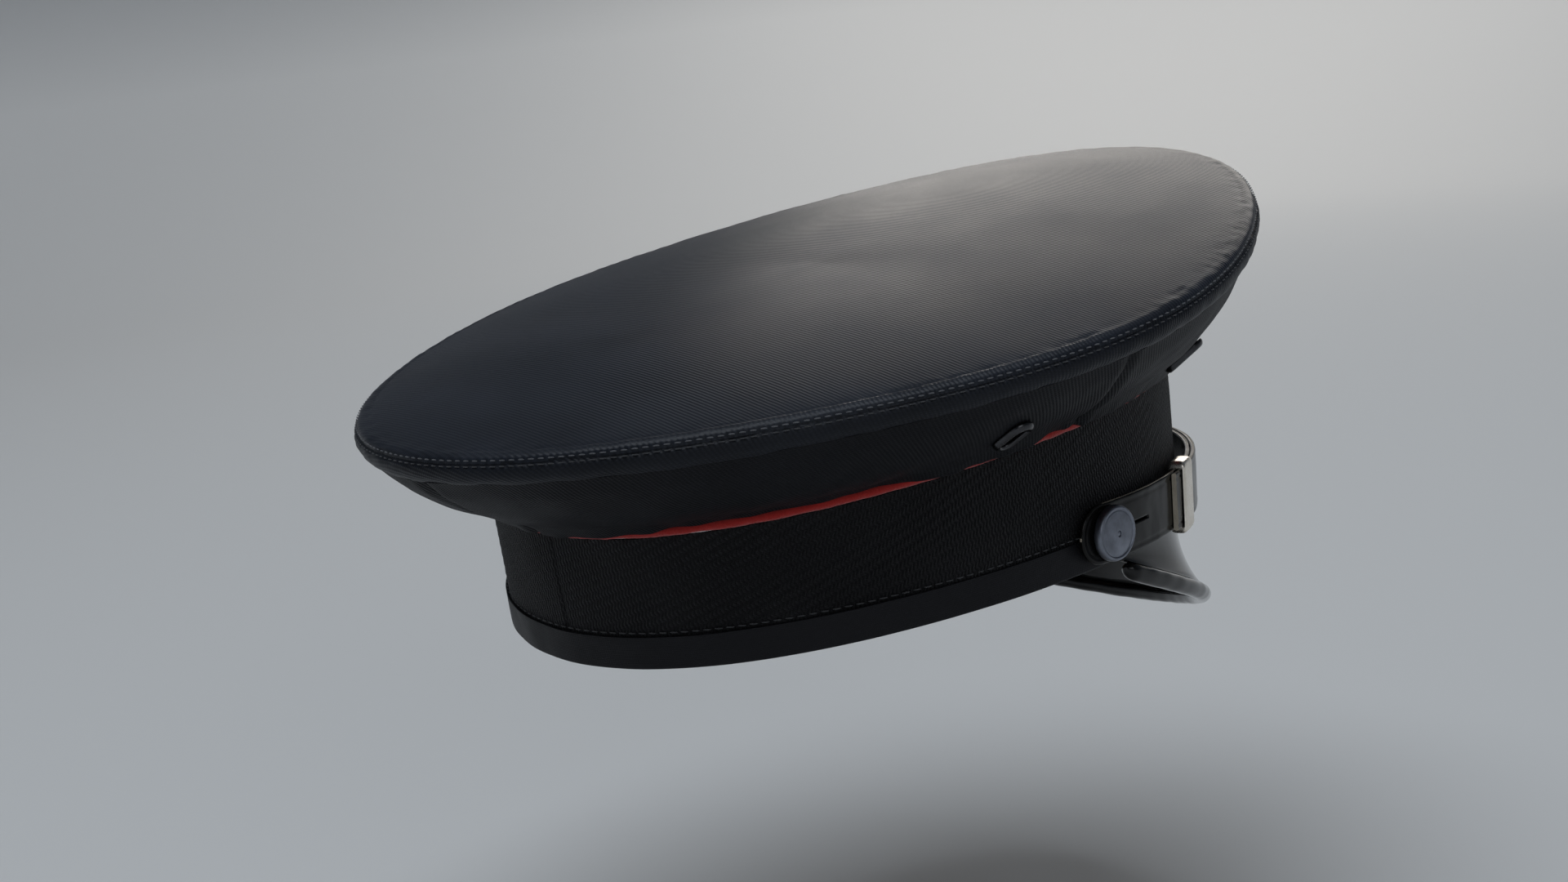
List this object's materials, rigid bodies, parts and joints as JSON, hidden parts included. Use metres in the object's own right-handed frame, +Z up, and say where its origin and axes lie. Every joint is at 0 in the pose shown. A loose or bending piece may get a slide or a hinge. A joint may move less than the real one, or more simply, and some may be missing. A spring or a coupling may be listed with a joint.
{
  "type": "military peaked cap",
  "caption": "military peaked cap with a flared dark crown, red waist piping, woven band, steep patent peak and a two-part patent chin strap on side buttons",
  "frame": {"origin": "centre of the head opening, at the height of the band's bottom edge", "axes": "+Z up, front of the cap to -Y, the wearer's right side to -X"},
  "size_m": [0.237, 0.2878, 0.1388],
  "materials": {
    "crown_cloth": "fine twill barathea, dark navy",
    "band_cloth": "coarse woven mohair braid, black",
    "red_piping": "felted scarlet cloth",
    "binding_tape": "smooth black tape",
    "lining_satin": "black satin",
    "stiffener_board": "black fibre board",
    "sweatband_leather": "smooth brown leather",
    "patent_leather": "high gloss black patent",
    "strap_patent": "black patent with a pale cut edge",
    "keeper_nickel": "polished nickel",
    "button_metal": "worn dark grey metal",
    "black_metal": "black lacquered metal",
    "spring_wire": "plain steel"
  },
  "bodies": {
    "cap": {"crown_top": "crown_cloth", "crown_front_right": "crown_cloth", "crown_front_left": "crown_cloth", "crown_back_right": "crown_cloth", "crown_back_left": "crown_cloth", "crown_welt": "crown_cloth", "crown_hoop": "spring_wire", "crown_lining": "lining_satin", "front_stay": "stiffener_board", "waist_piping": "red_piping", "band_cover": "band_cloth", "band_stiffener": "stiffener_board", "band_binding": "binding_tape", "sweatband": "sweatband_leather", "sweatband_reed": "sweatband_leather", "badge_eyelet": "black_metal", "peak_top": "patent_leather", "peak_underlay": "patent_leather", "peak_edge": "patent_leather", "vent_eyelet_front_right": "black_metal", "vent_eyelet_back_right": "black_metal", "vent_eyelet_front_left": "black_metal", "vent_eyelet_back_left": "black_metal", "vent_washer_front_right": "spring_wire", "vent_washer_back_right": "spring_wire", "vent_washer_front_left": "spring_wire", "vent_washer_back_left": "spring_wire"},
    "chinstrap": {"strap_right": "strap_patent", "strap_left": "strap_patent"},
    "keeper_right_slide": {"keeper_right": "keeper_nickel"},
    "keeper_left_slide": {"keeper_left": "keeper_nickel"},
    "button_right_turn": {"button_right": "button_metal", "button_washer_right": "spring_wire"},
    "button_left_turn": {"button_left": "button_metal", "button_washer_left": "spring_wire"}
  },
  "joints": [
    {"name": "chinstrap_swing", "type": "hinge", "parent": "cap", "child": "chinstrap", "pos_m": [0, -0.008, 0.0125], "axis": [-1, 0, 0], "range_deg": [0, 8]},
    {"name": "keeper_right_along", "type": "hinge", "parent": "chinstrap", "child": "keeper_right_slide", "pos_m": [0.03587, -0.00001, 0.01293], "axis": [0, -0.0541, 0.9985], "range_deg": [-12, 12]},
    {"name": "keeper_left_along", "type": "hinge", "parent": "chinstrap", "child": "keeper_left_slide", "pos_m": [-0.03587, -0.00001, 0.01293], "axis": [0, 0.0541, -0.9985], "range_deg": [-12, 12]},
    {"name": "button_right_spin", "type": "hinge", "parent": "cap", "child": "button_right_turn", "pos_m": [-0.0835, -0.008, 0.0125], "axis": [-1, 0, 0], "continuous": true},
    {"name": "button_left_spin", "type": "hinge", "parent": "cap", "child": "button_left_turn", "pos_m": [0.0835, -0.008, 0.0125], "axis": [1, 0, 0], "continuous": true}
  ]
}
